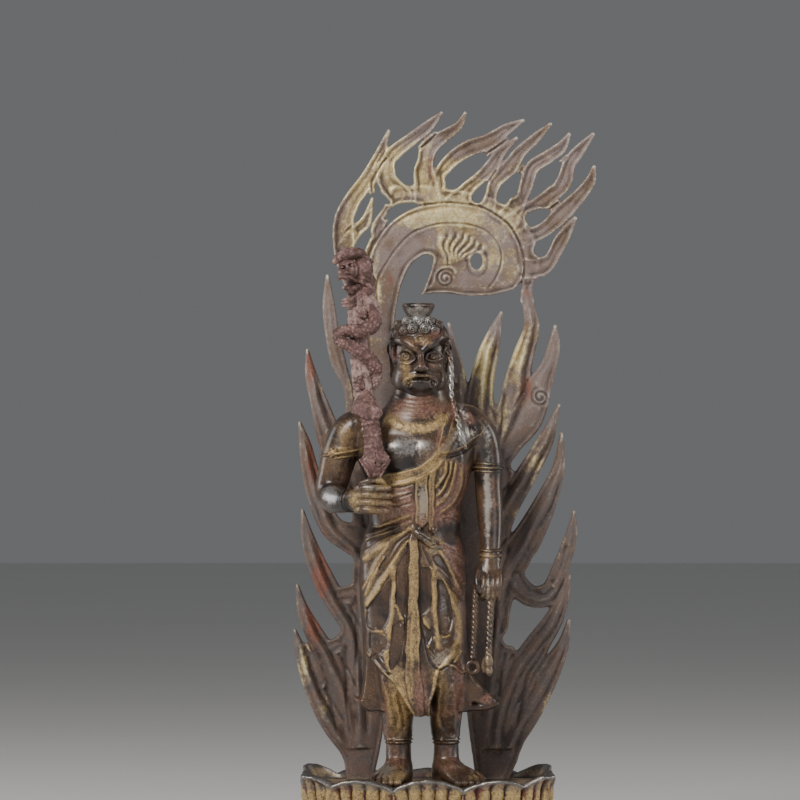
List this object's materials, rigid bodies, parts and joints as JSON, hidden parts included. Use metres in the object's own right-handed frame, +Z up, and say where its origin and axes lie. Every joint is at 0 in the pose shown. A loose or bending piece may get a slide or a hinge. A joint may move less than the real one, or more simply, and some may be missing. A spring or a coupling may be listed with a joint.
{
  "type": "acala statue",
  "caption": "Standing Acala in lacquered and gilt cast bronze, dragon sword raised, lasso in hand, before an openwork flame halo on a lotus plinth.",
  "frame": {"origin": "middle of the plinth's flat underside", "axes": "+Z up, the figure faces -Y, its left side towards +X"},
  "size_m": [0.2419, 0.16, 0.6043],
  "materials": {
    "gilt_plinth": "worn gold leaf on fat petal ribs, dark red lacquer in the grooves, bare dark rims",
    "gilt_flames": "worn pale gold leaf over mauve-brown ground, with red lacquer left between the tongues",
    "dark_lacquered_bronze": "glossy dark brown lacquer on bronze, gold left on raised folds, silvery worn edges",
    "red_lacquer": "matt granular red-brown lacquer with dusty worn high points"
  },
  "bodies": {
    "root": {"lotus_plinth": "gilt_plinth", "flame_halo": "gilt_flames", "figure": "dark_lacquered_bronze", "dragon_sword": "red_lacquer"}
  },
  "joints": []
}
